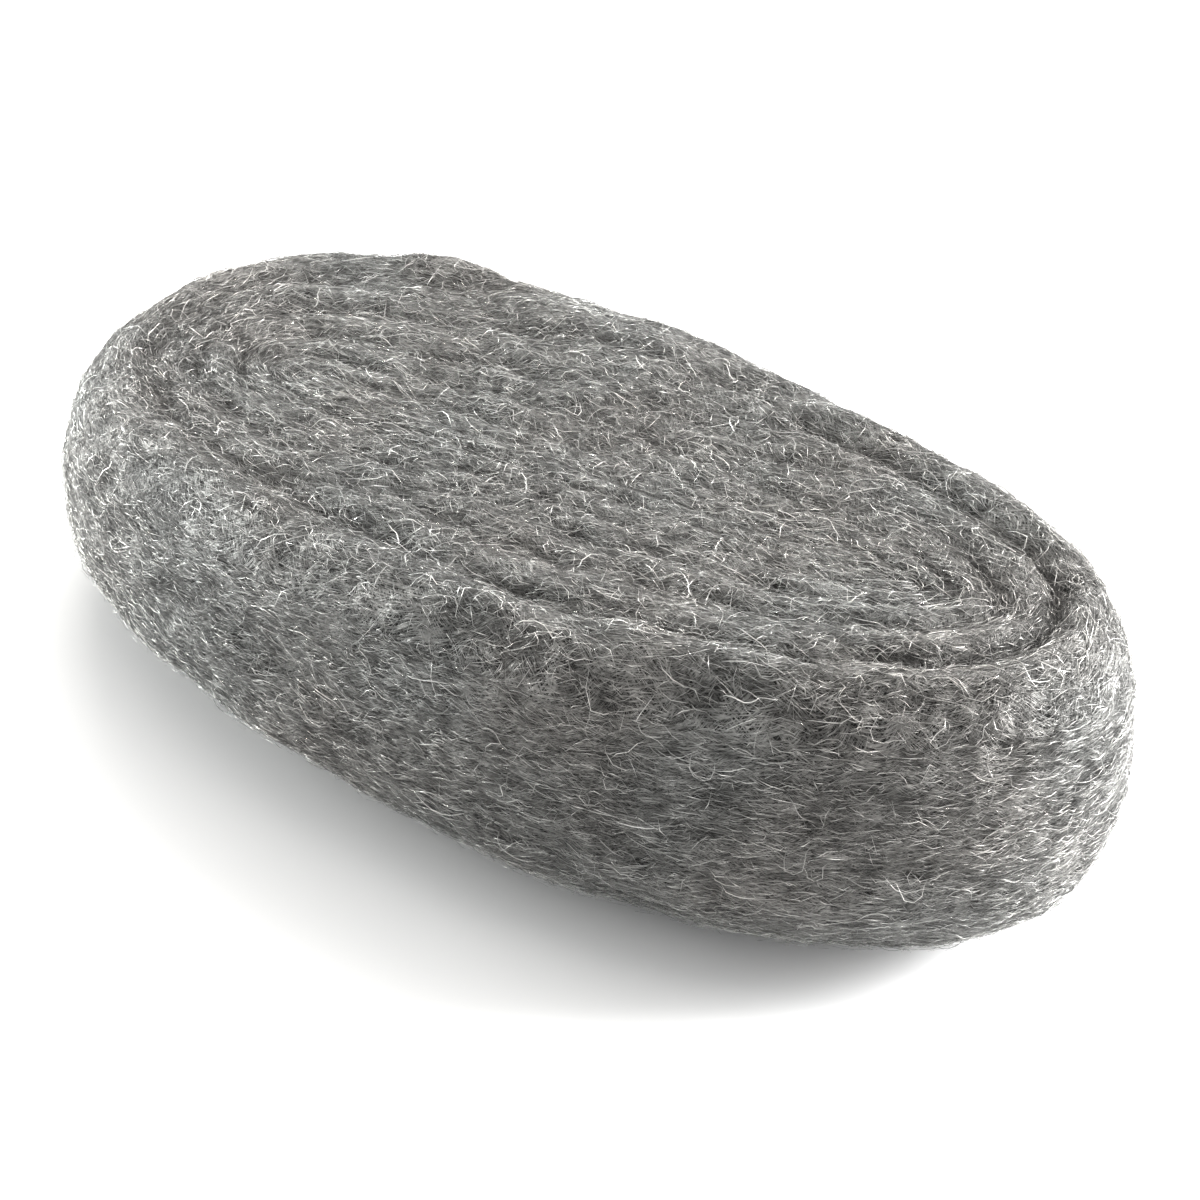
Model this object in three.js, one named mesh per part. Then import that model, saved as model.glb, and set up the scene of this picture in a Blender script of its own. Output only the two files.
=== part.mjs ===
// A steel wool roll: one strip of loose steel fibre, wound flat into an oval and lying on a wound face.
// Millimetres, +Z up. The origin is under the middle of the roll, on the surface that it lies on.
// +X runs along the roll to its taller end, and +Y to its far side, where the strip ends.
import * as THREE from 'three';
import { ParametricGeometry } from 'three/addons/geometries/ParametricGeometry.js';
import { mergeVertices } from 'three/addons/utils/BufferGeometryUtils.js';

const { clamp, degToRad, lerp, smoothstep } = THREE.MathUtils;

// The oval outline, seen from above. An end's squareness is 2 for an ellipse, and more is fuller.
const halfLength = 98.2;
const halfWidth = 51;
const leftSquareness = 2.44;
const rightSquareness = 1.9;
const endBlend = 0.35;

// The shallow waist pressed into the far side
const waistDepth = 6;
const waistPlace = 35;
const waistReach = 35;

// Heights above the surface that the roll lies on: the left end is lower than the right end.
const leftHeight = 47;
const rightHeight = 64;
const middleHeight = (leftHeight + rightHeight) / 2;

// The rounded shoulder over the wall, the wall's upright band, and the flat that the roll lies on
const shoulderWidth = 13;
const shoulderDepth = 26;
const uprightBand = 5.5;
const restHalfWidth = 21;
const baseWidth = halfWidth - restHalfWidth;
const baseDepth = middleHeight - shoulderDepth - uprightBand;

// The winding: the strip starts along a flat core line and goes round it, clockwise seen from above.
const stripThickness = 7.7;
const coreOffset = -5;
const coreSlant = 3;
const leftWoundThickness = 47;
const rightWoundThickness = 41;
const turns = Math.round((halfWidth + coreOffset) / stripThickness);

// Evenly thick turns have a looseness of 0. The outer turns take a larger share of the width with more.
const outerLooseness = 0.38;

// The strip's outer end lies on the far side, feathers out over its last stretch and stands a little proud.
const tailAngle = degToRad(126);
const tailFeather = 0.09;
const tailStep = 2.5;

// The creases between turns. The outermost on top is deeper than the others, most of all at the right end.
const topCreaseDepth = 1.5;
const deepCreaseExtra = 1.6;
const deepCreaseReach = 0.4;
const undersideCreaseDepth = 1;
const creaseFade = 0.5;
const topDish = 1.5;

// Gentle tufts over the top and the wall, as crossing waves. Each wave repeats a number of times around the
// roll, and again after its spacing across the winding. They are calm over the core.
const tuftWaves = [
  { around: 9, spacing: 14 },
  { around: -13, spacing: 11 },
  { around: 17, spacing: 19 },
  { around: -5, spacing: 9 },
];
const tuftHeight = 0.3;
const calmWidth = 14;

// Ridges and hollows that the loose strip keeps, each along a line between two points.
// A hollow's height is below 0.
const farRidge = { from: [-38, 33.5, 55], to: [18, 28.5, 55], reach: 4.5, height: 1.5 };
const farHollow = { from: [-44, 40.5, 53], to: [20, 34, 54], reach: 4, height: -1.4 };
const leftShoulderRidge = { from: [-64, -37.5, 50.5], to: [2, -46.5, 51], reach: 4.5, height: 1.4 };
const leftShoulderGroove = { from: [-36, -35, 55.5], to: [-6, -40, 55], reach: 3.5, height: -1 };
const leftWallHollow = { from: [-66, -39, 45], to: [-20, -50.5, 36], reach: 6, height: -1.8 };
const leftWallFoot = { from: [-70, -40, 27], to: [-16, -52, 23], reach: 7, height: 1 };
const rightShoulderRidge = { from: [26, -42, 52], to: [54, -27, 54], reach: 5, height: 1 };
const stripEndTuft = { from: [-61, 34, 53], to: [-56, 36, 53], reach: 4, height: 1.6 };
const swells = [
  farRidge,
  farHollow,
  leftShoulderRidge,
  leftShoulderGroove,
  leftWallHollow,
  leftWallFoot,
  rightShoulderRidge,
  stripEndTuft,
];

// Tufts and swells start at one level above the face that the roll lies on, and are whole at the next.
const reliefStart = 4;
const reliefFull = 13;

// How fine the faces are
const columns = 100;
const topRowsPerTurn = 4;
const undersideRowsPerTurn = 3;
const baseRows = 7;
const shoulderRows = 5;
const weldDistance = 1e-3;

// Each wound face meets the wall at its own inset from the outline.
// A crest breadth over 1 flattens the crests of its turns.
const top = {
  edgeInset: 3.5,
  curveWidth: shoulderWidth,
  curveDepth: shoulderDepth,
  creaseDepth: topCreaseDepth,
  deepExtra: deepCreaseExtra,
  crestBreadth: 1,
};
const underside = {
  edgeInset: 14,
  curveWidth: baseWidth,
  curveDepth: baseDepth,
  creaseDepth: undersideCreaseDepth,
  deepExtra: 0,
  crestBreadth: 1.2,
};

// A signed power, which squares off a cosine or sine
function squareOff(component, squareness) {
  return Math.sign(component) * Math.abs(component) ** (2 / squareness);
}

// The outline's point at an angle, moved in from the edge by inset
function outlinePoint(angle, inset) {
  const right = (1 + Math.tanh(Math.cos(angle) / endBlend)) / 2;
  const squareness = lerp(leftSquareness, rightSquareness, right);
  const x = squareOff(Math.cos(angle), squareness) * (halfLength - inset);
  const y = squareOff(Math.sin(angle), squareness) * (halfWidth - inset);
  const waist = waistDepth * Math.exp(-(((x - waistPlace) / waistReach) ** 2));
  return new THREE.Vector2(x, y - waist * Math.max(0, y / halfWidth));
}

// The core line's point that an angle's spoke starts from
function corePoint(angle) {
  const share = (1 + Math.cos(angle)) / 2;
  const x = lerp(leftWoundThickness - halfLength, halfLength - rightWoundThickness, share);
  return new THREE.Vector2(x, coreOffset + coreSlant * Math.cos(angle));
}

// How many turns lie between the core and the edge.
// windShare runs from 0 at the strip's outer end to 1 a whole turn further in.
function turnsWound(windShare) {
  return turns - smoothstep(windShare, 0, tailFeather) * (1 - windShare);
}

function windAngle(windShare) {
  return tailAngle - windShare * 2 * Math.PI;
}

// The edge point of a face or a wall row, pushed out where the strip's last turn adds to the roll
function edgePoint(windShare, inset) {
  const overlap = tailStep * (turnsWound(windShare) - (turns - 1));
  return outlinePoint(windAngle(windShare), inset - overlap);
}

// How far a face curves away from its flat middle, at a distance in from the outline
function curveAway(face, inset) {
  const short = Math.max(0, 1 - inset / face.curveWidth);
  return face.curveDepth * (1 - Math.sqrt(1 - short ** 2));
}

// Lifts a height drawn for the middle of the roll to the height there is at x.
// Every height before this step is drawn for the middle of the roll.
function heightAt(x, middle) {
  const share = (x / halfLength + 1) / 2;
  return (middle * lerp(leftHeight, rightHeight, share)) / middleHeight;
}

// A point of a wound face, turnsOut turns from the core, with its depth below the face's flat middle
function facePoint(face, turnsOut, windShare) {
  const wound = turnsWound(windShare);
  const placed = clamp(turnsOut, 0, wound);
  const core = corePoint(windAngle(windShare));
  const edge = edgePoint(windShare, face.edgeInset);
  const share = lerp(placed / wound, (placed / wound) ** 3, outerLooseness);
  const plan = core.clone().lerp(edge, share);
  const inset = face.edgeInset + (1 - share) * core.distanceTo(edge);
  const acrossTurn = placed - windShare - Math.floor(placed - windShare);
  const crest = Math.min(1, face.crestBreadth * Math.sin(Math.PI * acrossTurn));
  const fade = Math.min(1, placed / creaseFade, (wound - placed) / creaseFade);
  const fromOutermost = (wound - placed - 1) / deepCreaseReach;
  const towardsRight = (1 + Math.cos(windAngle(windShare))) / 2;
  const creaseDepth = face.creaseDepth + face.deepExtra * towardsRight * Math.exp(-(fromOutermost ** 2));
  return { plan, share, depth: curveAway(face, inset) + creaseDepth * fade * (1 - crest) };
}

function undersidePoint(row, windShare, target) {
  const turnsOut = row / undersideRowsPerTurn - 1 + windShare;
  const { plan, depth } = facePoint(underside, turnsOut, windShare);
  target.set(plan.x, plan.y, depth);
}

function topPoint(row, windShare, target) {
  const turnsOut = row / topRowsPerTurn - 1 + windShare;
  const { plan, share, depth } = facePoint(top, turnsOut, windShare);
  const dish = topDish * (1 - share ** 2);
  target.set(plan.x, plan.y, middleHeight - depth - dish);
}

// The wall's rows as inset and height, from the underside's edge up to the top's edge
const baseStart = Math.PI + Math.acos(1 - underside.edgeInset / baseWidth);
const shoulderEnd = Math.PI - Math.acos(1 - top.edgeInset / shoulderWidth);
const baseCurve = new THREE.EllipseCurve(
  baseWidth, baseDepth, baseWidth, baseDepth, baseStart, Math.PI, true,
);
const upperLevel = middleHeight - shoulderDepth;
const shoulderCurve = new THREE.EllipseCurve(
  shoulderWidth, upperLevel, shoulderWidth, shoulderDepth, Math.PI, shoulderEnd, true,
);
const wallRows = [...baseCurve.getPoints(baseRows), ...shoulderCurve.getPoints(shoulderRows)];

function wallPoint(row, windShare, target) {
  const below = clamp(Math.floor(row), 0, wallRows.length - 2);
  const section = wallRows[below].clone().lerp(wallRows[below + 1], row - below);
  const plan = edgePoint(windShare, section.x);
  target.set(plan.x, plan.y, section.y);
}

// The core line, seen from above
const coreLeft = corePoint(Math.PI);
const coreRight = corePoint(0);
const coreLine = new THREE.Line3(
  new THREE.Vector3(coreLeft.x, coreLeft.y, 0),
  new THREE.Vector3(coreRight.x, coreRight.y, 0),
);

// The tufts' height at a point
function tuftsAt(point) {
  const plan = new THREE.Vector3(point.x, point.y, 0);
  const nearest = coreLine.closestPointToPoint(plan, true, new THREE.Vector3());
  const fromCore = nearest.distanceTo(plan);
  const angle = Math.atan2((point.y - coreOffset) / halfWidth, point.x / halfLength);
  const across = fromCore - point.z;
  let sum = 0;
  for (const { around, spacing } of tuftWaves) {
    sum += Math.sin(around * angle + (2 * Math.PI * across) / spacing);
  }
  return tuftHeight * smoothstep(fromCore, 0, calmWidth) * sum;
}

// The height at a point that the ridges and hollows make together
function swellsAt(point) {
  const nearest = new THREE.Vector3();
  let sum = 0;
  for (const { from, to, reach, height } of swells) {
    const line = new THREE.Line3(new THREE.Vector3(...from), new THREE.Vector3(...to));
    line.closestPointToPoint(point, true, nearest);
    sum += height * Math.exp(-((nearest.distanceTo(point) / reach) ** 2));
  }
  return sum;
}

// Moves a point away from the middle of the roll by its tufts and swells
function pushOut(point) {
  const clear = smoothstep(point.z, reliefStart, reliefFull);
  const away = new THREE.Vector3(
    point.x / halfLength ** 2,
    point.y / halfWidth ** 2,
    (point.z - middleHeight / 2) / (middleHeight / 2) ** 2,
  );
  point.addScaledVector(away.normalize(), clear * (tuftsAt(point) + swellsAt(point)));
}

// The skin's rows run from the core line on the underside, out, up the wall and back to it on top.
const undersideRows = undersideRowsPerTurn * (turns + 1);
const wallSteps = wallRows.length - 1;
const topRows = topRowsPerTurn * (turns + 1);
const allRows = undersideRows + wallSteps + topRows;

function skinPoint(windShare, rowShare, target) {
  const row = rowShare * allRows;
  if (row < undersideRows) {
    undersidePoint(row, windShare, target);
  } else if (row < undersideRows + wallSteps) {
    wallPoint(row - undersideRows, windShare, target);
  } else {
    topPoint(allRows - row, windShare, target);
  }
  pushOut(target);
  target.z = heightAt(target.x, target.z);
}

// Welds the skin into one closed body.
// Each row ends where the next turn's row begins, and rows past the core or the edge fold to nothing.
function closedSkin() {
  const sheet = new ParametricGeometry(skinPoint, columns, allRows);
  sheet.deleteAttribute('normal');
  sheet.deleteAttribute('uv');
  const welded = mergeVertices(sheet, weldDistance);
  const corners = welded.index.array;
  const kept = [];
  for (let i = 0; i < corners.length; i += 3) {
    const [a, b, c] = corners.slice(i, i + 3);
    if (a !== b && b !== c && c !== a) {
      kept.push(a, c, b);
    }
  }
  welded.setIndex(kept);
  welded.computeVertexNormals();
  return welded;
}

const steelWool = new THREE.MeshStandardMaterial({
  color: 0x7f7f7c,
  roughness: 0.55,
  metalness: 0.8,
});

const woolRoll = new THREE.Mesh(closedSkin(), steelWool);
woolRoll.name = 'wool_roll';
woolRoll.geometry.computeBoundingBox();
const middle = woolRoll.geometry.boundingBox.getCenter(new THREE.Vector3());
woolRoll.position.set(-middle.x, -middle.y, 0);

const steelWoolRoll = new THREE.Group();
steelWoolRoll.add(woolRoll);

export default steelWoolRoll;
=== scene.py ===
"""The looks of the steel wool roll: the wound wool as a finely shaped skin, and the fibres on it."""
import math

import bmesh
import bpy
import numpy as np
from mathutils import Matrix, Vector, noise


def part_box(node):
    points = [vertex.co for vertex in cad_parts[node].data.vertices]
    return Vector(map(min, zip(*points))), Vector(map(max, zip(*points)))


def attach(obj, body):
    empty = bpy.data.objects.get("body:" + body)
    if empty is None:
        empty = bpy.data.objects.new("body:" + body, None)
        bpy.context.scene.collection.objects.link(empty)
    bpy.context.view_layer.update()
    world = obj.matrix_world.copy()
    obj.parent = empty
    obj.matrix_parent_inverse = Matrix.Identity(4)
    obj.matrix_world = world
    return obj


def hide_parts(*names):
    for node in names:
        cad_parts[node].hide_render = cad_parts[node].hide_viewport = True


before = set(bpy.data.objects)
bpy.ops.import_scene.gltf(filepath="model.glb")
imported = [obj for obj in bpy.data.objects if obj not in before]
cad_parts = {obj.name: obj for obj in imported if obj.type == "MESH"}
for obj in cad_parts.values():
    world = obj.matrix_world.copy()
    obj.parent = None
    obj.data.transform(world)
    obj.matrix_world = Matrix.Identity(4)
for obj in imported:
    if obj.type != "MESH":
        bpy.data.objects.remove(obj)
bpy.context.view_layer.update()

MM = 0.001
SEED = 7

# The roll's shape, as in the part's source
HALF_LENGTH = 98.2 * MM
HALF_WIDTH = 51 * MM
LEFT_SQUARENESS = 2.44
RIGHT_SQUARENESS = 1.9
END_BLEND = 0.35
WAIST_DEPTH = 6 * MM
WAIST_PLACE = 35 * MM
WAIST_REACH = 35 * MM
LEFT_HEIGHT = 47 * MM
RIGHT_HEIGHT = 64 * MM
MIDDLE_HEIGHT = (LEFT_HEIGHT + RIGHT_HEIGHT) / 2
SHOULDER_WIDTH = 13 * MM
SHOULDER_DEPTH = 26 * MM
UPRIGHT_BAND = 5.5 * MM
REST_HALF_WIDTH = 21 * MM
BASE_WIDTH = HALF_WIDTH - REST_HALF_WIDTH
BASE_DEPTH = MIDDLE_HEIGHT - SHOULDER_DEPTH - UPRIGHT_BAND
STRIP_THICKNESS = 7.7 * MM
CORE_OFFSET = -5 * MM
CORE_SLANT = 3 * MM
LEFT_WOUND_THICKNESS = 47 * MM
RIGHT_WOUND_THICKNESS = 41 * MM
TURNS = 6
OUTER_LOOSENESS = 0.38
TAIL_ANGLE = math.radians(126)
TAIL_FEATHER = 0.09
TAIL_STEP = 2.5 * MM
CREASE_FADE = 0.5
DEEP_CREASE_REACH = 0.4
TOP_DISH = 1.5 * MM
SECTION_STEPS = 40
ROUND_STEPS = 4000

# Loose fibre lies across the creases of the top and fills them by this much.
CREASE_FILL = 0.7 * MM

TOP = {
    "edge_inset": 3.5 * MM,
    "curve_width": SHOULDER_WIDTH,
    "curve_depth": SHOULDER_DEPTH,
    "crease_depth": 1.5 * MM - CREASE_FILL,
    "deep_extra": 1.6 * MM,
    "crest_breadth": 1,
}
UNDERSIDE = {
    "edge_inset": 14 * MM,
    "curve_width": BASE_WIDTH,
    "curve_depth": BASE_DEPTH,
    "crease_depth": 1 * MM,
    "deep_extra": 0,
    "crest_breadth": 1.2,
}

# The tufts' waves, each with its repeats around the roll and its spacing across the winding
TUFT_WAVES = ((9, 14 * MM), (-13, 11 * MM), (17, 19 * MM), (-5, 9 * MM))
TUFT_HEIGHT = 0.3 * MM
CALM_WIDTH = 14 * MM

# Where waves meet, tufts and hollows are held to this many tuft heights: loose fibre fills the
# hollows, and the tufts are pressed down.
TUFT_LIMIT = 1.7

# The ridges and hollows: both ends of each one's line in millimetres, its reach and its height
SWELLS = (
    ((-38, 33.5, 55), (18, 28.5, 55), 4.5 * MM, 1.5 * MM),
    ((-44, 40.5, 53), (20, 34, 54), 4 * MM, -1.4 * MM),
    ((-64, -37.5, 50.5), (2, -46.5, 51), 4.5 * MM, 1.4 * MM),
    ((-36, -35, 55.5), (-6, -40, 55), 3.5 * MM, -1 * MM),
    ((-66, -39, 45), (-20, -50.5, 36), 6 * MM, -1.8 * MM),
    ((-70, -40, 27), (-16, -52, 23), 7 * MM, 1 * MM),
    ((26, -42, 52), (54, -27, 54), 5 * MM, 1 * MM),
    ((-61, 34, 53), (-56, 36, 53), 4 * MM, 1.6 * MM),
)
RELIEF_START = 4 * MM
RELIEF_FULL = 13 * MM


def lerp(start, end, share):
    return start + (end - start) * share


def smooth_step(value, low, high):
    share = np.clip((value - low) / (high - low), 0, 1)
    return share * share * (3 - 2 * share)


# The wound shape. Every function takes arrays, one entry for each point.
def square_off(component, squareness):
    return np.sign(component) * np.abs(component) ** (2 / squareness)


def outline_point(angle, inset):
    right = (1 + np.tanh(np.cos(angle) / END_BLEND)) / 2
    squareness = lerp(LEFT_SQUARENESS, RIGHT_SQUARENESS, right)
    x = square_off(np.cos(angle), squareness) * (HALF_LENGTH - inset)
    y = square_off(np.sin(angle), squareness) * (HALF_WIDTH - inset)
    waist = WAIST_DEPTH * np.exp(-(((x - WAIST_PLACE) / WAIST_REACH) ** 2))
    return np.stack([x, y - waist * np.maximum(0, y / HALF_WIDTH)], -1)


def core_point(angle):
    share = (1 + np.cos(angle)) / 2
    x = lerp(LEFT_WOUND_THICKNESS - HALF_LENGTH, HALF_LENGTH - RIGHT_WOUND_THICKNESS, share)
    return np.stack([x, CORE_OFFSET + CORE_SLANT * np.cos(angle)], -1)


def turns_wound(wind):
    wind = wind - np.floor(wind)
    return TURNS - smooth_step(wind, 0, TAIL_FEATHER) * (1 - wind)


def wind_angle(wind):
    return TAIL_ANGLE - wind * 2 * math.pi


def edge_point(wind, inset):
    overlap = TAIL_STEP * (turns_wound(wind) - (TURNS - 1))
    return outline_point(wind_angle(wind), inset - overlap)


def height_at(x, middle):
    share = (x / HALF_LENGTH + 1) / 2
    return middle * lerp(LEFT_HEIGHT, RIGHT_HEIGHT, share) / MIDDLE_HEIGHT


def face_point(face, wind, turns_out):
    """A point of a wound face, how deep it lies in a crease between turns, from 0 to 1, and how
    far it is inside the face's edge."""
    wound = turns_wound(wind)
    placed = np.clip(turns_out, 0, wound)
    core = core_point(wind_angle(wind))
    edge = edge_point(wind, face["edge_inset"])
    share = lerp(placed / wound, (placed / wound) ** 3, OUTER_LOOSENESS)
    plan = lerp(core, edge, share[:, None])
    inset = face["edge_inset"] + (1 - share) * np.linalg.norm(core - edge, axis=-1)
    across_turn = placed - wind - np.floor(placed - wind)
    crest = np.minimum(1, face["crest_breadth"] * np.sin(math.pi * across_turn))
    fade = np.minimum(np.minimum(1, placed / CREASE_FADE), (wound - placed) / CREASE_FADE)
    from_outermost = (wound - placed - 1) / DEEP_CREASE_REACH
    towards_right = (1 + np.cos(wind_angle(wind))) / 2
    deep = face["deep_extra"] * towards_right * np.exp(-(from_outermost ** 2))
    crease = fade * (1 - crest)
    short = np.maximum(0, 1 - inset / face["curve_width"])
    curved = face["curve_depth"] * (1 - np.sqrt(1 - short ** 2))
    depth = curved + (face["crease_depth"] + deep) * crease
    if face is TOP:
        depth = MIDDLE_HEIGHT - depth - TOP_DISH * (1 - share ** 2)
    return np.column_stack([plan, depth]), crease, inset - face["edge_inset"]


def quarter_curve(centre, radii, start, end):
    angles = np.linspace(start, end, SECTION_STEPS)
    return np.column_stack([
        centre[0] + radii[0] * np.cos(angles), centre[1] + radii[1] * np.sin(angles),
    ])


def wall_section():
    """The wall's inset and height from the underside's edge to the top's, with its running length."""
    base_start = math.pi + math.acos(1 - UNDERSIDE["edge_inset"] / BASE_WIDTH)
    shoulder_end = math.pi - math.acos(1 - TOP["edge_inset"] / SHOULDER_WIDTH)
    shoulder_centre = (SHOULDER_WIDTH, MIDDLE_HEIGHT - SHOULDER_DEPTH)
    base = quarter_curve((BASE_WIDTH, BASE_DEPTH), (BASE_WIDTH, BASE_DEPTH), base_start, math.pi)
    shoulder = quarter_curve(shoulder_centre, (SHOULDER_WIDTH, SHOULDER_DEPTH), math.pi, shoulder_end)
    section = np.concatenate([base, shoulder])
    steps = np.linalg.norm(np.diff(section, axis=0), axis=1)
    return section, np.concatenate([[0], np.cumsum(steps)])


SECTION, SECTION_RUN = wall_section()
WALL_RUN = SECTION_RUN[-1]
WALL_TURNS = WALL_RUN / STRIP_THICKNESS


def wall_point(wind, run):
    """A point of the wall, run metres up it from the underside's edge."""
    inset = np.interp(run, SECTION_RUN, SECTION[:, 0])
    height = np.interp(run, SECTION_RUN, SECTION[:, 1])
    return np.column_stack([edge_point(wind, inset), height])


def from_line(points, start, end):
    """How far points are from the line between two others."""
    line = end - start
    share = np.clip((points - start) @ line / (line @ line), 0, 1)
    return np.linalg.norm(points - start - share[:, None] * line, axis=1)


def relief_at(points):
    """The height of the tufts, ridges and hollows at points."""
    x, y, z = points.T
    from_core = from_line(points[:, :2], core_point(math.pi), core_point(0))
    angle = np.arctan2((y - CORE_OFFSET) / HALF_WIDTH, x / HALF_LENGTH)
    waves = sum(
        np.sin(repeats * angle + 2 * math.pi * (from_core - z) / spacing)
        for repeats, spacing in TUFT_WAVES
    )
    tuft_height = TUFT_HEIGHT * smooth_step(from_core, 0, CALM_WIDTH)
    height = tuft_height * TUFT_LIMIT * np.tanh(waves / TUFT_LIMIT)
    for start, end, reach, rise in SWELLS:
        away = from_line(points, np.array(start) * MM, np.array(end) * MM)
        height += rise * np.exp(-((away / reach) ** 2))
    return height


def push_out(points):
    """Moves points away from the roll's middle by their relief, then to its height at their x."""
    half = MIDDLE_HEIGHT / 2
    away = (points - (0, 0, half)) / (HALF_LENGTH ** 2, HALF_WIDTH ** 2, half ** 2)
    away /= np.linalg.norm(away, axis=1)[:, None]
    clear = smooth_step(points[:, 2], RELIEF_START, RELIEF_FULL)
    moved = points + away * (clear * relief_at(points))[:, None]
    moved[:, 2] = height_at(moved[:, 0], moved[:, 2])
    return moved


def roll_point(face, wind, turns_out):
    """A point of the roll, its depth in a crease, and how far across the wool it is from the
    wall's lower edge. Past the face's edge, a turn further out is a strip's thickness further
    along the wall."""
    beyond = np.maximum(0, turns_out - turns_wound(wind)) * STRIP_THICKNESS
    run = WALL_RUN - beyond if face is TOP else beyond
    on_face, crease, from_edge = face_point(face, wind, turns_out)
    on_wall = wall_point(wind, np.clip(run, 0, WALL_RUN))
    past = beyond > 0
    across = np.where(past, run, WALL_RUN + from_edge if face is TOP else -from_edge)
    point = push_out(np.where(past[:, None], on_wall, on_face)) + ROLL_SHIFT
    return point, np.where(past, 0, crease), across


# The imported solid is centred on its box, so the same formulas are shifted onto it.
node_low, node_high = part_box("wool_roll")
around = np.linspace(0, 1, ROUND_STEPS + 1)
rim = np.concatenate([
    push_out(wall_point(around, np.full_like(around, run)))
    for run in np.linspace(0, WALL_RUN, SECTION_STEPS)
])
rim_middle = (rim.min(axis=0) + rim.max(axis=0)) / 2
ROLL_SHIFT = np.array([
    (node_low[0] + node_high[0]) / 2 - rim_middle[0],
    (node_low[1] + node_high[1]) / 2 - rim_middle[1],
    0,
])

# How far along the strip's outer side each share of a turn is
WALL_MIDDLE = wall_point(around, np.full_like(around, WALL_RUN / 2))
ROUND_RUN = np.concatenate([[0], np.cumsum(np.linalg.norm(np.diff(WALL_MIDDLE, axis=0), axis=1))])
ROUND_LENGTH = ROUND_RUN[-1]
ROUND_RADIUS = ROUND_LENGTH / (2 * math.pi)


def winding_place(wind, across):
    """A place on a tube that the strip runs once round, so that patterns along it meet at its end."""
    angle = np.interp(wind - np.floor(wind), around, ROUND_RUN) / ROUND_RADIUS
    return np.column_stack([ROUND_RADIUS * np.cos(angle), ROUND_RADIUS * np.sin(angle), across])


# Shader helpers
def add_node(tree, kind, values=(), links=(), **settings):
    """A node with its settings, its socket values and the sockets that feed it."""
    made = tree.nodes.new(kind)
    for name, value in settings.items():
        setattr(made, name, value)
    for socket, value in dict(values).items():
        made.inputs[socket].default_value = value
    for socket, source in dict(links).items():
        tree.links.new(source, made.inputs[socket])
    return made


def add_maths(tree, operation, first, second=None):
    """A Math node's output. Each operand is a number or a socket."""
    made = tree.nodes.new("ShaderNodeMath")
    made.operation = operation
    for socket, operand in zip(made.inputs, (first, second)):
        if isinstance(operand, bpy.types.NodeSocket):
            tree.links.new(operand, socket)
        elif operand is not None:
            socket.default_value = operand
    return made.outputs[0]


def add_range(tree, source, old, new=(0.0, 1.0), **settings):
    """A value moved from its old range to a new one and held inside it."""
    values = {"From Min": old[0], "From Max": old[1], "To Min": new[0], "To Max": new[1]}
    return add_node(tree, "ShaderNodeMapRange", values, {"Value": source}, **settings).outputs[0]


def add_noise(tree, place, scale, detail):
    values = {"Scale": scale, "Detail": detail}
    return add_node(tree, "ShaderNodeTexNoise", values, {"Vector": place}).outputs[0]


def new_group(name, inputs, outputs):
    """An empty shader node group, with its input and output nodes."""
    tree = bpy.data.node_groups.new(name, "ShaderNodeTree")
    for socket, (kind, value) in inputs.items():
        made = tree.interface.new_socket(socket, in_out="INPUT", socket_type=kind)
        if value is not None:
            made.default_value = value
    for socket, kind in outputs.items():
        tree.interface.new_socket(socket, in_out="OUTPUT", socket_type=kind)
    return tree, tree.nodes.new("NodeGroupInput"), tree.nodes.new("NodeGroupOutput")


def place_group(tree, group, values=(), links=()):
    return add_node(tree, "ShaderNodeGroup", values, links, node_tree=group)


# A fibre line lies where the noise is near its middle, and fades where the noise that bends it is low.
NOISE_MIDDLE = 0.5
LINE_HALF_WIDTH = 0.1
FADE_RANGE = (0.42, 0.6)
FAINTEST_LINE = 0.6


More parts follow.
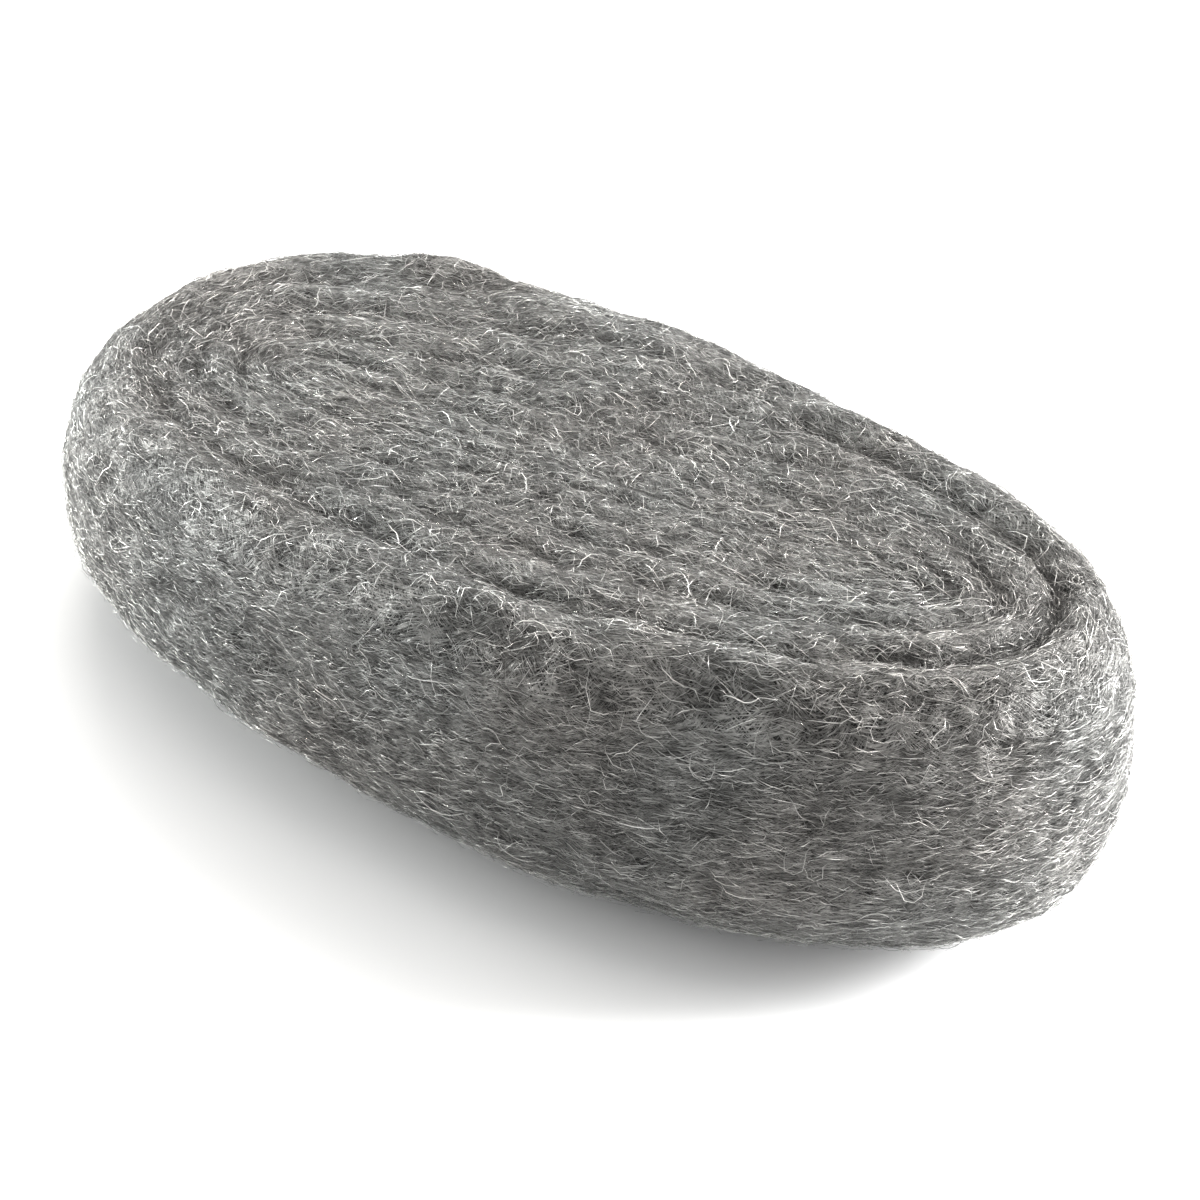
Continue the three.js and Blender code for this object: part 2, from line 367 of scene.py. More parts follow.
def fibre_layer_group():
    """One layer of fibres that run along the winding: bright lines that meander, cross and fade."""
    tree, given, out = new_group(
        "fibre_layer",
        {
            "Winding": ("NodeSocketVector", None),
            "Length": ("NodeSocketFloat", 8 * MM),
            "Width": ("NodeSocketFloat", 0.3 * MM),
            "Meander": ("NodeSocketFloat", 3 * MM),
            "Meander Length": ("NodeSocketFloat", 9 * MM),
            "Slant": ("NodeSocketFloat", 0.0),
            "Layer": ("NodeSocketFloat", 0.0),
        },
        {"Lines": "NodeSocketFloat", "Height": "NodeSocketFloat"},
    )
    # Each layer looks at another stretch of the same noise.
    layer_place = add_node(tree, "ShaderNodeCombineXYZ", links={2: given.outputs["Layer"]}).outputs[0]
    winding = add_node(
        tree, "ShaderNodeVectorMath", links={0: given.outputs["Winding"], 1: layer_place},
        operation="ADD",
    ).outputs[0]
    apart = add_node(tree, "ShaderNodeSeparateXYZ", links={0: winding})
    bend_scale = add_maths(tree, "DIVIDE", 1.0, given.outputs["Meander Length"])
    bend = add_node(
        tree, "ShaderNodeTexNoise", {"Detail": 0.0}, {"Vector": winding, "Scale": bend_scale},
    ).outputs[0]
    aside = add_maths(tree, "SUBTRACT", bend, NOISE_MIDDLE)
    drift = add_maths(tree, "MULTIPLY", aside, given.outputs["Meander"])
    backwards = add_maths(tree, "MULTIPLY", apart.outputs[1], -1.0)
    ahead = add_maths(tree, "MULTIPLY", apart.outputs[0], -1.0)
    along = add_maths(tree, "MULTIPLY", add_maths(tree, "ARCTAN2", backwards, ahead), ROUND_RADIUS)
    leaning = add_maths(tree, "MULTIPLY", along, given.outputs["Slant"])
    across = add_maths(tree, "ADD", add_maths(tree, "ADD", apart.outputs[2], drift), leaning)
    stretched = add_node(tree, "ShaderNodeCombineXYZ", links={
        0: add_maths(tree, "DIVIDE", apart.outputs[0], given.outputs["Length"]),
        1: add_maths(tree, "DIVIDE", apart.outputs[1], given.outputs["Length"]),
        2: add_maths(tree, "DIVIDE", across, given.outputs["Width"]),
    })
    grain = add_noise(tree, stretched.outputs[0], scale=1.0, detail=1.0)
    from_line = add_maths(tree, "ABSOLUTE", add_maths(tree, "SUBTRACT", grain, NOISE_MIDDLE))
    line = add_range(
        tree, from_line, (0.0, LINE_HALF_WIDTH), (1.0, 0.0), interpolation_type="SMOOTHSTEP",
    )
    faded = add_maths(tree, "MULTIPLY_ADD", add_range(tree, bend, FADE_RANGE), FAINTEST_LINE)
    tree.links.new(add_maths(tree, "MULTIPLY", line, faded), out.inputs["Lines"])
    tree.links.new(grain, out.inputs["Height"])
    return tree


FIBRE_LAYER = fibre_layer_group()


def steel_tint_group():
    """Bare steel's colour, from a warm grey to a cool one in broad patches, times a brightness."""
    tree, given, out = new_group(
        "steel_tint",
        {
            "Brightness": ("NodeSocketFloat", 0.5),
            "Warm": ("NodeSocketColor", (1.0, 0.975, 0.93, 1)),
            "Cool": ("NodeSocketColor", (0.98, 0.985, 0.95, 1)),
        },
        {"Color": "NodeSocketColor"},
    )
    place = add_node(tree, "ShaderNodeTexCoord").outputs["Object"]
    turned = add_range(tree, add_noise(tree, place, scale=34.0, detail=1.0), old=(0.38, 0.62))
    tint = add_node(
        tree, "ShaderNodeMix",
        links={0: turned, 6: given.outputs["Warm"], 7: given.outputs["Cool"]}, data_type="RGBA",
    )
    scaled = add_node(
        tree, "ShaderNodeVectorMath",
        links={0: tint.outputs[2], "Scale": given.outputs["Brightness"]}, operation="SCALE",
    )
    tree.links.new(scaled.outputs[0], out.inputs["Color"])
    return tree


STEEL_TINT = steel_tint_group()


def new_material(name):
    material = bpy.data.materials.new(name)
    material.use_nodes = True
    tree = material.node_tree
    return material, tree, tree.nodes["Principled BSDF"]


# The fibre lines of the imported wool: one layer along the winding and two that cross it
WOOL_LAYERS = (
    {"Length": 5 * MM, "Width": 0.24 * MM, "Meander": 2.2 * MM, "Meander Length": 8 * MM,
     "Slant": 0.12, "Layer": 0.0},
    {"Length": 2.4 * MM, "Width": 0.22 * MM, "Meander": 1.4 * MM, "Meander Length": 4 * MM,
     "Slant": -0.5, "Layer": 0.3},
    {"Length": 2 * MM, "Width": 0.22 * MM, "Meander": 1.2 * MM, "Meander Length": 3.5 * MM,
     "Slant": 0.65, "Layer": 0.6},
)
BUNDLE_LENGTH = 9 * MM
BUNDLE_WIDTH = 1.3 * MM
# How much painted shade darkens the packed wool's colour in the creases between turns
PAINTED_SKIN_CREASE_SHADE = 0.25


def packed_wool_material():
    """The wool under the loose fibres: layers of fibre lines over gaps painted dark as the shade among
    deeper fibres, with painted shade in its pores and creases.
    """
    material, tree, shader = new_material("packed_wool")
    winding = add_node(tree, "ShaderNodeAttribute", attribute_name="winding").outputs["Vector"]
    crease = add_node(tree, "ShaderNodeAttribute", attribute_name="crease").outputs["Fac"]
    placed = [place_group(tree, FIBRE_LAYER, layer, {"Winding": winding}) for layer in WOOL_LAYERS]
    lines = placed[0].outputs["Lines"]
    height = placed[0].outputs["Height"]
    for layer in placed[1:]:
        lines = add_maths(tree, "MAXIMUM", lines, layer.outputs["Lines"])
        height = add_maths(tree, "ADD", height, layer.outputs["Height"])
    drawn_out = add_node(
        tree, "ShaderNodeVectorMath", {1: (1 / BUNDLE_LENGTH, 1 / BUNDLE_LENGTH, 1 / BUNDLE_WIDTH)},
        {0: winding}, operation="MULTIPLY",
    )
    bundles = add_noise(tree, drawn_out.outputs[0], scale=1.0, detail=2.0)
    # Painted shade darkens the wool in the pores between bundles.
    painted_pore_shade = add_range(tree, bundles, old=(0.35, 0.6), new=(0.65, 1.0))
    # Between the fibre lines the colour is painted dark, as the shade among deeper fibres.
    lines_over_painted_shade = add_range(tree, lines, old=(0.15, 1.0), new=(0.01, 0.24))
    lit = add_maths(tree, "MULTIPLY", lines_over_painted_shade, painted_pore_shade)
    # Painted shade darkens the wool where it lies in a crease.
    painted_crease_shade = add_maths(tree, "MULTIPLY", crease, PAINTED_SKIN_CREASE_SHADE)
    shaded = add_maths(tree, "MULTIPLY", lit, add_maths(tree, "SUBTRACT", 1.0, painted_crease_shade))
    tint = place_group(tree, STEEL_TINT, links={"Brightness": shaded})
    tree.links.new(tint.outputs["Color"], shader.inputs["Base Color"])
    rough = add_range(tree, lines, old=(0.0, 1.0), new=(0.6, 0.36))
    tree.links.new(rough, shader.inputs["Roughness"])
    shader.inputs["Metallic"].default_value = 0.85
    shader.inputs["Anisotropic"].default_value = 0.7
    shader.inputs["Anisotropic Rotation"].default_value = 0.25
    along = add_node(tree, "ShaderNodeTangent", direction_type="UV_MAP", uv_map="OFBake")
    tree.links.new(along.outputs[0], shader.inputs["Tangent"])
    relief = add_maths(tree, "ADD", lines, height)
    bump = add_node(
        tree, "ShaderNodeBump", {"Strength": 0.8, "Distance": 0.3 * MM}, {"Height": relief},
    )
    tree.links.new(bump.outputs["Normal"], shader.inputs["Normal"])
    return material


# Fibres change from duller to brighter steel over this part of the noise's range.
POLISH_RANGE = (0.35, 0.65)


def loose_fibre_material():
    """The single fibres on top: bare steel, each with its own tone."""
    material, tree, shader = new_material("loose_fibre")
    tone = add_node(tree, "ShaderNodeAttribute", attribute_name="tone").outputs["Fac"]
    place = add_node(tree, "ShaderNodeTexCoord").outputs["Object"]
    polish = add_noise(tree, place, scale=900.0, detail=1.0)
    streaks = add_range(tree, polish, POLISH_RANGE, new=(0.75, 1.0))
    brightness = add_maths(tree, "MULTIPLY", tone, streaks)
    tint = place_group(tree, STEEL_TINT, links={"Brightness": brightness})
    tree.links.new(tint.outputs["Color"], shader.inputs["Base Color"])
    rough = add_range(tree, polish, POLISH_RANGE, new=(0.42, 0.27))
    tree.links.new(rough, shader.inputs["Roughness"])
    shader.inputs["Metallic"].default_value = 0.9
    return material


def finished_mesh(sheet, name):
    """The mesh of a sheet that bmesh has shaped."""
    mesh = bpy.data.meshes.new(name)
    sheet.to_mesh(mesh)
    sheet.free()
    return mesh


def show_mesh(mesh, material):
    """An object in the scene for a mesh, under the mesh's name."""
    mesh.materials.append(material)
    shown = bpy.data.objects.new(mesh.name, mesh)
    bpy.context.collection.objects.link(shown)
    return shown


def finish_piece(mesh, material):
    """A smooth piece of the roll, which rides on its body."""
    mesh.shade_smooth()
    piece = show_mesh(mesh, material)
    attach(piece, "root")
    return piece


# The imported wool: one closed skin, finer than the solid and with the lumps of loosely wound fibre.
# Its rows are counted for each turn of the wound faces, and for the wall.
SKIN_COLUMNS = 400
SKIN_TOP_ROWS = 10
SKIN_UNDER_ROWS = 5
SKIN_WALL_ROWS = 46
SKIN_UNDERSIDE_END = SKIN_UNDER_ROWS * (TURNS + 1)
SKIN_WALL_END = SKIN_UNDERSIDE_END + SKIN_WALL_ROWS
SKIN_ROWS = SKIN_WALL_END + SKIN_TOP_ROWS * (TURNS + 1)


def skin_layout(wind, row):
    """The skin's points, how deep in a crease each one is, and how far across the wool. The rows
    run from the core out over the underside, up the wall and in over the top to the core."""
    point = np.zeros((len(row), 3))
    crease = np.zeros(len(row))
    across = np.zeros(len(row))
    low = row < SKIN_UNDERSIDE_END
    high = row > SKIN_WALL_END
    wall = ~low & ~high
    faces = (
        (UNDERSIDE, low, row / SKIN_UNDER_ROWS),
        (TOP, high, (SKIN_ROWS - row) / SKIN_TOP_ROWS),
    )
    for face, chosen, rounds in faces:
        turns_out = np.minimum(rounds[chosen] - 1 + wind[chosen], turns_wound(wind[chosen]))
        point[chosen], crease[chosen], across[chosen] = roll_point(face, wind[chosen], turns_out)
    run = (row[wall] - SKIN_UNDERSIDE_END) / SKIN_WALL_ROWS * WALL_RUN
    point[wall] = push_out(wall_point(wind[wall], run)) + ROLL_SHIFT
    across[wall] = run
    return point, crease, across


def strand_noise(winding, length, width, layer):
    """Noise drawn out along the winding, from -1 to 1. Each layer is another stretch of it."""
    along, round_the_tube, across = winding
    return noise.noise(Vector((along / length, round_the_tube / length, across / width + layer)))


def fleck(winding):
    """Where bundles of fibre lie close, above 0, and where pores between them are, below 0."""
    return strand_noise(winding, length=BUNDLE_LENGTH, width=BUNDLE_WIDTH, layer=40)


# How far the skin's tufts, knots and bundles stand out at most, and how deep a pore gets
TUFT_RISE = 0.26 * MM
KNOT_RISE = 0.12 * MM
BUNDLE_RISE = 0.18 * MM
DEEPEST_PORE = -0.2 * MM


def lump(winding):
    """How far the wool stands out: tufts along the winding, small knots, and pores between bundles."""
    tuft = strand_noise(winding, length=12 * MM, width=3.4 * MM, layer=0)
    knot = strand_noise(winding, length=3.2 * MM, width=1.6 * MM, layer=80)
    return max(DEEPEST_PORE, TUFT_RISE * tuft + KNOT_RISE * knot + BUNDLE_RISE * fleck(winding))


# Corners of the skin closer than this are one, and an edge shorter than this is taken out.
MERGE_DISTANCE = 0.01 * MM
LEAST_EDGE = 0.001 * MM


def build_packed_wool(material):
    sheet = bmesh.new()
    bmesh.ops.create_grid(sheet, x_segments=SKIN_COLUMNS, y_segments=SKIN_ROWS, size=0.5)
    grid = np.array([vertex.co for vertex in sheet.verts])
    wind = grid[:, 0] + 0.5
    row = np.round((grid[:, 1] + 0.5) * SKIN_ROWS)
    point, crease, across = skin_layout(wind, row)
    winding = winding_place(wind, across)
    crease_layer = sheet.verts.layers.float.new("crease")
    winding_layer = sheet.verts.layers.float_vector.new("winding")
    bake_map = sheet.loops.layers.uv.new("OFBake")
    for vertex, place, depth, along in zip(sheet.verts, point, crease, winding):
        for loop in vertex.link_loops:
            loop[bake_map].uv = (vertex.co.x + 0.5, vertex.co.y + 0.5)
        vertex.co = place
        vertex[crease_layer] = depth
        vertex[winding_layer] = along
    bmesh.ops.remove_doubles(sheet, verts=sheet.verts, dist=MERGE_DISTANCE)
    bmesh.ops.dissolve_degenerate(sheet, edges=sheet.edges, dist=LEAST_EDGE)
    bmesh.ops.recalc_face_normals(sheet, faces=sheet.faces)
    sheet.normal_update()
    moves = [vertex.normal * lump(vertex[winding_layer]) for vertex in sheet.verts]
    for vertex, move in zip(sheet.verts, moves):
        vertex.co += move
        vertex.co.z = max(vertex.co.z, 0)
    return finish_piece(finished_mesh(sheet, "packed_wool"), material)


# The fibres. Each is a thin three-sided shaving, as steel wool is cut, laid along a path. It has
# its own cell of the bake map, with a margin, and a side that wraps reaches past a full turn there.
BAKE_MARGIN = 0.1
BAKE_MAP_REACH = 1.4


def fibre_template(segments):
    """One straight fibre along X, a segment to each metre, with a triangle's section of radius 1."""
    sheet = bmesh.new()
    across_x = Matrix.Rotation(math.pi / 2, 3, "Y").to_4x4()
    bmesh.ops.create_circle(sheet, cap_ends=True, segments=3, radius=1, matrix=across_x)
    end = sheet.faces[:]
    for grown_segments in range(segments):
        grown = bmesh.ops.extrude_face_region(sheet, geom=end, use_keep_orig=grown_segments == 0)
        if grown_segments:
            bmesh.ops.delete(sheet, geom=end, context="FACES_ONLY")
        end = [item for item in grown["geom"] if isinstance(item, bmesh.types.BMFace)]
        corners = [item for item in grown["geom"] if isinstance(item, bmesh.types.BMVert)]
        bmesh.ops.translate(sheet, vec=(1, 0, 0), verts=corners)
    bmesh.ops.recalc_face_normals(sheet, faces=sheet.faces)
    bmesh.ops.triangulate(sheet, faces=[face for face in sheet.faces if len(face.verts) > 4])
    bake_map = sheet.loops.layers.uv.new("OFBake")
    for face in sheet.faces:
        places = [loop.vert.co for loop in face.loops]
        turns = [math.atan2(place.y, place.z) / (2 * math.pi) + 0.5 for place in places]
        wraps = max(turns) - min(turns) > 0.5 and len(face.verts) == 4
        for loop, place, turn in zip(face.loops, places, turns):
            around_fibre = turn + 1 if wraps and turn < 0.5 else turn
            loop[bake_map].uv = (place.x / segments, around_fibre / BAKE_MAP_REACH)
    return finished_mesh(sheet, "one_fibre")


def copied_fibres(template, count):
    """A mesh of that many straight fibres, in order."""
    source = bpy.data.objects.new("fibre_source", template)
    bpy.context.collection.objects.link(source)
    array = source.modifiers.new("copies", "ARRAY")
    array.count = count
    array.use_relative_offset = False
    array.use_merge_vertices = False
    shaped = source.evaluated_get(bpy.context.evaluated_depsgraph_get())
    mesh = bpy.data.meshes.new_from_object(shaped)
    bpy.data.objects.remove(source)
    return mesh


def spread_bake_map(mesh, count):
    """Gives each of the fibres its own cell of the bake map."""
    cells = math.ceil(math.sqrt(count))
    cell = np.column_stack([np.arange(count) % cells, np.arange(count) // cells])
    bake_map = mesh.uv_layers["OFBake"].uv
    uv = np.empty(len(mesh.loops) * 2)
    bake_map.foreach_get("vector", uv)
    inside = BAKE_MARGIN + (1 - 2 * BAKE_MARGIN) * uv.reshape(count, -1, 2)
    bake_map.foreach_set("vector", ((cell[:, None, :] + inside) / cells).ravel())


# The part of a turn over which slopes are measured, and the least length that is divided by
SLOPE_STEP = 1e-3
LEAST_LENGTH = 1e-12


def unit(vectors):
    """Vectors at length 1, along the last axis. One without a length stays 0."""
    return vectors / np.maximum(np.linalg.norm(vectors, axis=-1), LEAST_LENGTH)[..., None]


def surface_frame(face, wind, turns_out):
    """The roll's points, their outward normals, the metres that a turn ahead and a turn out are
    there, how deep in a crease they lie, and how far across the wool."""
    point, crease, across = roll_point(face, wind, turns_out)
    ahead = (roll_point(face, wind + SLOPE_STEP, turns_out + SLOPE_STEP)[0] - point) / SLOPE_STEP
    sideways = (roll_point(face, wind, turns_out + SLOPE_STEP)[0] - point) / SLOPE_STEP
    side = 1 if face is TOP else -1
    normal = unit(side * np.cross(ahead, sideways))
    ahead = np.linalg.norm(ahead, axis=1)
    sideways = np.linalg.norm(sideways, axis=1)
    return point, normal, ahead, sideways, crease, across


# Each fibre's place is drawn out of a few, by the area around each, so that they cover the roll evenly.
CANDIDATES = 4

# The part of the way from the core within which no fibre has its middle, and the turns from the
# core's line within which no fibre comes
CORE_SHARE = 0.01
CORE_CLEARANCE = 0.03

# A turn counts as at least this long ahead and this wide sideways, so that no fibre winds round a point.
LEAST_TURN_LENGTH = 10 * MM
LEAST_TURN_WIDTH = 3 * MM

# How far fibres stray from the winding on each area, and the share of them that lie across it
AREA_SPREAD = {"top": 0.45, "wall": 0.22, "underside": 0.3}
AREA_CROSSING = {"top": 0.18, "wall": 0.08, "underside": 0.12}

# The power that makes most tones dull, how much painted shade darkens them in creases, how much painted
# glint brightens them on bundles and painted shade darkens them over pores, and the tones' limits
DULL_LEAN = 1.7
PAINTED_FIBRE_CREASE_SHADE = 0.12
PAINTED_BUNDLE_GLINT_AND_PORE_SHADE = 0.4
DARKEST_TONE = 0.04
BRIGHTEST_TONE = 0.97

# A fibre's radius as a share of its kind's, and the share of it that is left at its ends
RADIUS_SPREAD = (0.7, 1.25)
END_TAPER = 0.45


def fibre_places(rng, count, face, area):
    """Where the middles of fibres are on one area: the turns around, the turns wound there, the
    turns out, and the metres that a turn ahead and a turn out are there."""
    wind = rng.random(CANDIDATES * count)
    wound = turns_wound(wind)
    if area == "wall":
        turns_out = wound + WALL_TURNS * rng.random(len(wind))
        width = 1
    else:
        turns_out = wound * rng.uniform(CORE_SHARE, 1, len(wind))
        width = wound
    _, _, ahead, sideways, _, _ = surface_frame(face, wind, turns_out)
    patch = ahead * sideways * width
    chosen = rng.choice(len(wind), count, replace=False, p=patch / patch.sum())
    return (values[chosen] for values in (wind, wound, turns_out, ahead, sideways))


def fibre_courses(rng, count, kind, area, share):
    """How many metres the points of fibres are ahead of their middles and aside from them."""
    length = rng.uniform(kind["shortest"], kind["longest"], count)
    heading = rng.normal(0, kind["looseness"] * AREA_SPREAD[area], count)
    tangled = rng.random(count) < kind["looseness"] * AREA_CROSSING[area]
    heading = np.where(tangled, rng.uniform(-math.pi / 2, math.pi / 2, count), heading)
    curl = rng.normal(0, kind["curl"], count)
    wave = rng.normal(0, kind["wave"], count)
    phase = rng.uniform(0, 2 * math.pi, count)
    rippled = wave[:, None] * np.sin(2 * math.pi * share + phase[:, None])
    turned = heading[:, None] + curl[:, None] * share + rippled
    step = length[:, None] / kind["segments"]
    forward = np.cumsum(np.cos(turned), axis=1) * step
    aside = np.cumsum(np.sin(turned), axis=1) * step
    middle = kind["segments"] // 2
    return forward - forward[:, [middle]], aside - aside[:, [middle]]


def fibre_tones(rng, kind, arch, crease, winding):
    """How bright the points of fibres are. Most fibres are dull and a few are bright. Painted shade
    darkens them in creases and over pores, painted glint brightens them on bundles, and each is painted
    darker towards its ends, so that its glint fades into the wool."""
    tone = lerp(kind["dull"], kind["bright"], rng.random(len(crease)) ** DULL_LEAN)
    # Painted shade darkens fibres that lie in creases.
    tone *= 1 - PAINTED_FIBRE_CREASE_SHADE * crease
    # Painted glint brightens fibres on bundles, and painted shade darkens those over pores.
    tone *= np.array([1 + PAINTED_BUNDLE_GLINT_AND_PORE_SHADE * fleck(place) for place in winding])
    # Painted shade darkens each fibre towards its ends, so that its glint fades into the wool.
    faded = tone[:, None] * (1 - kind["fade"] * (1 - arch))
    return np.clip(faded, DARKEST_TONE, BRIGHTEST_TONE)


def fibre_paths(rng, count, kind, area):
    """Paths of fibres on one area: points, normals, radii and tones, a row for each fibre."""
    face = UNDERSIDE if area == "underside" else TOP
    wind, wound, turns_out, ahead, sideways = fibre_places(rng, count, face, area)
    share = np.linspace(-0.5, 0.5, kind["segments"] + 1)
    forward, aside = fibre_courses(rng, count, kind, area, share)
    path_wind = wind[:, None] + forward / np.maximum(ahead, LEAST_TURN_LENGTH)[:, None]
    if area == "wall":
        outwards = turns_wound(path_wind) - wound[:, None]
    else:
        outwards = path_wind - wind[:, None]
    outwards = outwards + aside / np.maximum(sideways, LEAST_TURN_WIDTH)[:, None]
    path_turns = turns_out[:, None] + outwards
    # A fibre that would cross the core's line is moved off it whole.
    path_turns += np.maximum(0, CORE_CLEARANCE - path_turns.min(axis=1))[:, None]
    point, normal, _, _, crease, across = surface_frame(face, path_wind.ravel(), path_turns.ravel())
    winding = winding_place(path_wind.ravel(), across)
    arch = 1 - (2 * share) ** 2
    rise = rng.uniform(0, kind["arch"], (count, 1)) * arch
    first_end, last_end = rng.uniform(kind["tuck"], kind["stand"], (2, count, 1))
    ends = lerp(first_end, last_end, share + 0.5)
    lift = (rise + ends).ravel() + np.array([lump(place) for place in winding])
    point = point + normal * lift[:, None]
    point[:, 2] = np.maximum(point[:, 2], kind["radius"])
    middles = slice(kind["segments"] // 2, None, kind["segments"] + 1)
    tone = fibre_tones(rng, kind, arch, crease[middles], winding[middles])
    radius = kind["radius"] * rng.uniform(*RADIUS_SPREAD, count)
    return point.reshape(count, -1, 3), normal.reshape(count, -1, 3), radius, tone


def build_fibres(name, material, seed, kind):
    """One piece of loose fibres: a straight copy for each, bent along its path."""
    rng = np.random.default_rng(seed)
    parts = [fibre_paths(rng, count, kind, area) for area, count in kind["counts"].items()]
    point, normal, radius, tone = (np.concatenate(values) for values in zip(*parts))
    count = len(radius)
    template = fibre_template(kind["segments"])
    corner = np.array([vertex.co for vertex in template.vertices])
    mesh = copied_fibres(template, count)
    ring = np.round(corner[:, 0]).astype(int)
    tangent = unit(np.gradient(point, axis=1))
    side = unit(np.cross(normal, tangent))
    up = np.cross(tangent, side)
    twist = rng.uniform(0, 2 * math.pi, count)[:, None]
    y = corner[:, 1] * np.cos(twist) - corner[:, 2] * np.sin(twist)
    z = corner[:, 1] * np.sin(twist) + corner[:, 2] * np.cos(twist)
    thick = radius[:, None] * np.where((ring == 0) | (ring == kind["segments"]), END_TAPER, 1)
    place = point[:, ring] + side[:, ring] * (y * thick)[..., None] + up[:, ring] * (z * thick)[..., None]
    place[..., 2] = np.maximum(place[..., 2], 0)
    mesh.vertices.foreach_set("co", place.ravel())
    toned = mesh.attributes.new("tone", "FLOAT", "POINT")
    toned.data.foreach_set("value", tone[:, ring].ravel())
    spread_bake_map(mesh, count)
    mesh.update()
    mesh.name = name
    return finish_piece(mesh, material)


# The kinds of fibre: how many straight segments each has and how many lie on each area, how long they
# are, how loosely they lie, how they bend, how far their ends go into the wool or stand out of it, how
# thick and how bright they are, and how much painted shade darkens their ends so that their glints fade
STUB = {
    "segments": 1, "counts": {"top": 5400, "wall": 6900, "underside": 1200},
    "shortest": 1.2 * MM, "longest": 3.2 * MM, "looseness": 1.2, "curl": 0, "wave": 0, "arch": 0,
    "tuck": -0.06 * MM, "stand": 0.65 * MM, "radius": 0.052 * MM,
    "dull": 0.15, "bright": 0.85, "fade": 0.1,
}
FUZZ = {**STUB, "longest": 3.8 * MM, "stand": 1.3 * MM, "radius": 0.046 * MM}
SHORT = {
    "segments": 2, "counts": {"top": 5000, "wall": 6400, "underside": 1100},
    "shortest": 2 * MM, "longest": 5 * MM, "looseness": 1, "curl": 0.6, "wave": 0.25, "arch": 0.55 * MM,
    "tuck": -0.12 * MM, "stand": 0.1 * MM, "radius": 0.055 * MM,
    "dull": 0.15, "bright": 0.9, "fade": 0.5,
}
LAID = {
    "segments": 4, "counts": {"top": 1900, "wall": 2100, "underside": 400},
    "shortest": 4.5 * MM, "longest": 9 * MM, "looseness": 1, "curl": 1.2, "wave": 0.45,
    "arch": 0.65 * MM, "tuck": -0.15 * MM, "stand": 0.1 * MM, "radius": 0.056 * MM,
    "dull": 0.18, "bright": 0.9, "fade": 0.5,
}
CURLED = {
    "segments": 7, "counts": {"top": 380, "wall": 420, "underside": 40},
    "shortest": 5 * MM, "longest": 11 * MM, "looseness": 1.6, "curl": 2, "wave": 0.8, "arch": 1 * MM,
    "tuck": -0.1 * MM, "stand": 0.5 * MM, "radius": 0.055 * MM,
    "dull": 0.25, "bright": 0.75, "fade": 0.4,
}

packed_wool = build_packed_wool(packed_wool_material())
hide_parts("wool_roll")
fibre_material = loose_fibre_material()

# The stubs and the short fibres are in two pieces each, because one would be too large.
build_fibres("stub_fibres_1", fibre_material, SEED + 1, STUB)
build_fibres("stub_fibres_2", fibre_material, SEED + 2, STUB)
build_fibres("fuzz_fibres", fibre_material, SEED + 3, FUZZ)
build_fibres("short_fibres_1", fibre_material, SEED + 4, SHORT)
build_fibres("short_fibres_2", fibre_material, SEED + 5, SHORT)
build_fibres("laid_fibres", fibre_material, SEED + 6, LAID)
build_fibres("curled_fibres", fibre_material, SEED, CURLED)


# The camera stands where the photographer's did.
CAMERA_AZIMUTH = math.radians(33.774)
CAMERA_ELEVATION = math.radians(38.755)
CAMERA_ROLL = math.radians(3.372)
CAMERA_DISTANCE = 434.06 * MM
CAMERA_AIM = Vector((5.98, 0.72, 26.61)) * MM
CAMERA_LENS = 78
CAMERA_NEAREST = 0.01
CAMERA_FARTHEST = 50


def add_camera():
    flat = math.cos(CAMERA_ELEVATION)
    back = Vector((
        math.sin(CAMERA_AZIMUTH) * flat,
        -math.cos(CAMERA_AZIMUTH) * flat,
        math.sin(CAMERA_ELEVATION),
    ))
    level = Vector((math.cos(CAMERA_AZIMUTH), math.sin(CAMERA_AZIMUTH), 0))
    up = back.cross(level)
    turned_right = level * math.cos(CAMERA_ROLL) + up * math.sin(CAMERA_ROLL)
    turned_up = up * math.cos(CAMERA_ROLL) - level * math.sin(CAMERA_ROLL)
    camera = bpy.data.objects.new("camera", bpy.data.cameras.new("camera"))
    camera.data.lens = CAMERA_LENS
    camera.data.clip_start = CAMERA_NEAREST
    camera.data.clip_end = CAMERA_FARTHEST
    camera.matrix_world = Matrix((turned_right, turned_up, back)).transposed().to_4x4()
    camera.location = CAMERA_AIM + back * CAMERA_DISTANCE
    bpy.context.collection.objects.link(camera)
    bpy.context.scene.camera = camera


def add_soft_lamp(name, place, aim, size, power, color):
    lamp = bpy.data.lights.new(name, "AREA")
    lamp.shape = "RECTANGLE"
    lamp.size, lamp.size_y = size
    lamp.energy = power
    lamp.color = color
    holder = bpy.data.objects.new(name, lamp)
    holder.location = place
    holder.rotation_euler = (Vector(aim) - Vector(place)).to_track_quat("-Z", "Y").to_euler()
    bpy.context.collection.objects.link(holder)


def camera_sees(tree):
    """1 for rays from the camera, and for those that a shiny or clear surface sends on."""
    path = add_node(tree, "ShaderNodeLightPath")
    seen = add_maths(tree, "MAXIMUM", path.outputs["Is Camera Ray"], path.outputs["Is Glossy Ray"])
    return add_maths(tree, "MAXIMUM", seen, path.outputs["Is Transmission Ray"])


# The background is white where it is seen, and its light on the scene is this strong.
WORLD_LIGHT = 0.62


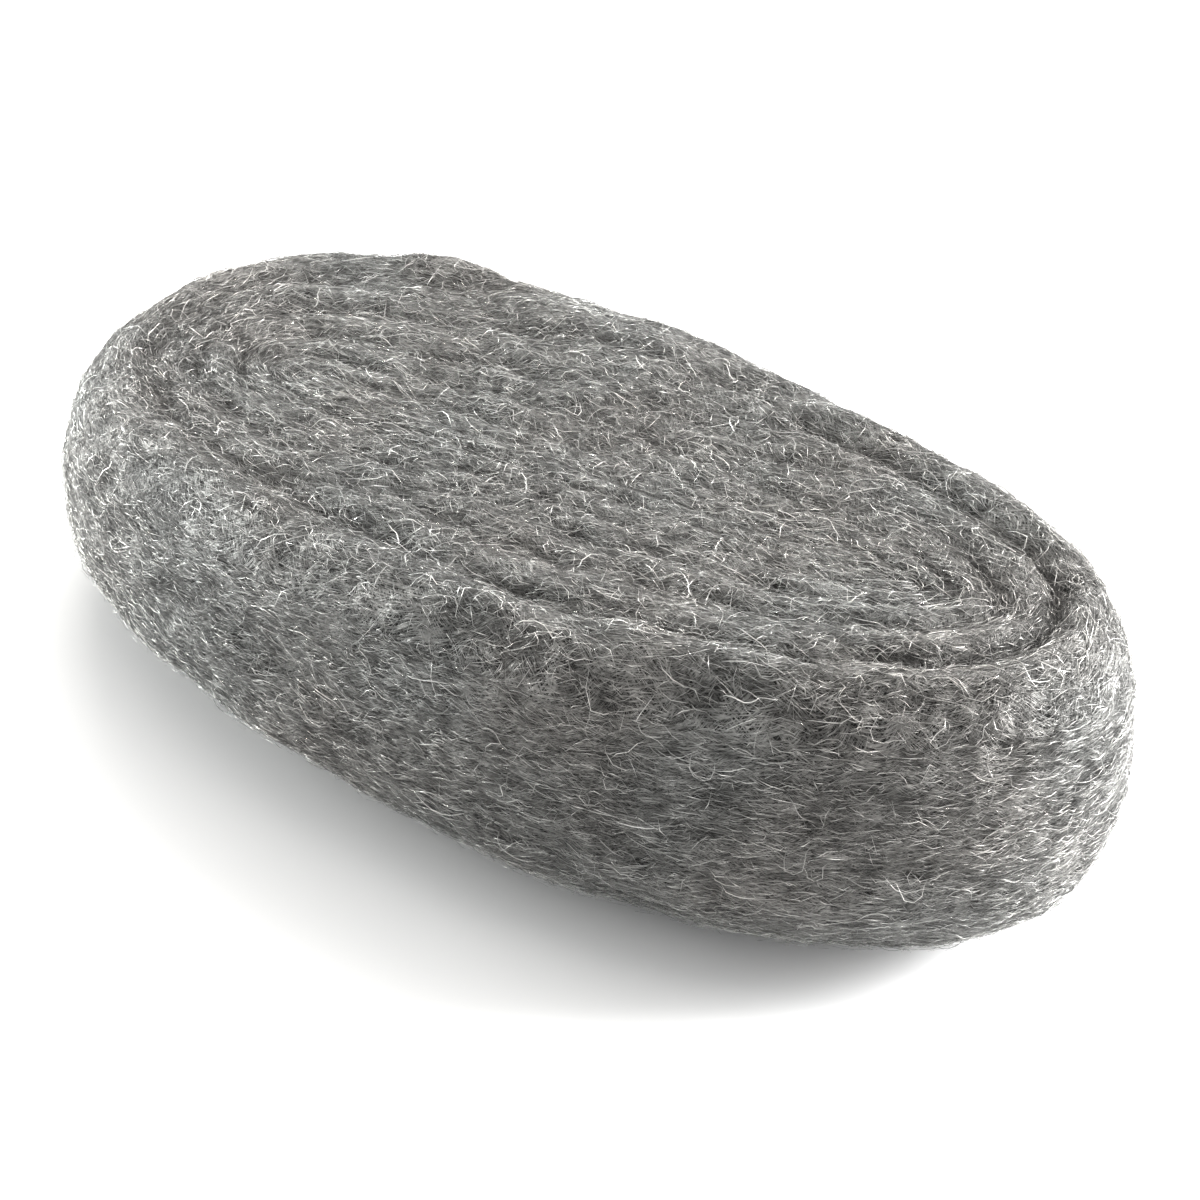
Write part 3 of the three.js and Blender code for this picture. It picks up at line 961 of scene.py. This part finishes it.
def add_world():
    world = bpy.data.worlds.new("studio")
    bpy.context.scene.world = world
    world.use_nodes = True
    tree = world.node_tree
    backdrop = tree.nodes["Background"]
    strength = add_range(tree, camera_sees(tree), old=(0.0, 1.0), new=(WORLD_LIGHT, 1.0))
    tree.links.new(strength, backdrop.inputs["Strength"])
    backdrop.inputs["Color"].default_value = (1, 1, 1, 1)


FLOOR_RADIUS = 1.5
FLOOR_SIDES = 128


def add_floor():
    material, tree, shader = new_material("studio_floor")
    place = add_node(tree, "ShaderNodeTexCoord").outputs["Object"]
    mottle = add_noise(tree, place, scale=4.0, detail=2.0)
    pale = add_range(tree, mottle, old=(0.0, 1.0), new=(0.93, 0.95))
    tree.links.new(pale, shader.inputs["Base Color"])
    shader.inputs["Roughness"].default_value = 0.9
    shader.inputs["Specular IOR Level"].default_value = 0.1
    sheet = bmesh.new()
    bmesh.ops.create_circle(sheet, cap_ends=True, segments=FLOOR_SIDES, radius=FLOOR_RADIUS)
    floor = show_mesh(finished_mesh(sheet, "floor"), material)


WARM_LIGHT = (1.0, 0.97, 0.93)
COOL_LIGHT = (0.97, 1.0, 0.985)
WHITE_LIGHT = (1, 1, 1)

# The soft lamps: where each one is, where it points, its width and height, its power and its colour
SOFT_LAMPS = {
    "overhead": ((-0.1, 0.25, 1.1), (0, 0, 0), (1.2, 1.2), 6.2, WARM_LIGHT),
    "back_left": ((-0.5, 0.6, 0.8), (0, 0, 0.02), (0.6, 0.6), 5.5, WARM_LIGHT),
    "back_right": ((0.5, 0.6, 0.8), (0, 0, 0.02), (0.6, 0.6), 9, WARM_LIGHT),
    "left_low": ((-1.05, -0.1, 0.1), (-0.05, 0, 0.03), (0.5, 0.2), 21.5, COOL_LIGHT),
    "left_side": ((-0.9, -0.35, 0.5), (-0.05, 0, 0.03), (0.6, 0.6), 1.2, COOL_LIGHT),
    "right_low": ((1.05, 0.3, 0.2), (0.05, 0, 0.03), (0.5, 0.3), 3, WHITE_LIGHT),
    "right_side": ((0.8, 0.8, 0.42), (0.05, 0, 0.03), (0.5, 0.7), 53, WHITE_LIGHT),
}

add_camera()
add_world()
add_floor()
for lamp_name, lamp_settings in SOFT_LAMPS.items():
    add_soft_lamp(lamp_name, *lamp_settings)
bpy.context.scene.view_settings.view_transform = "Standard"
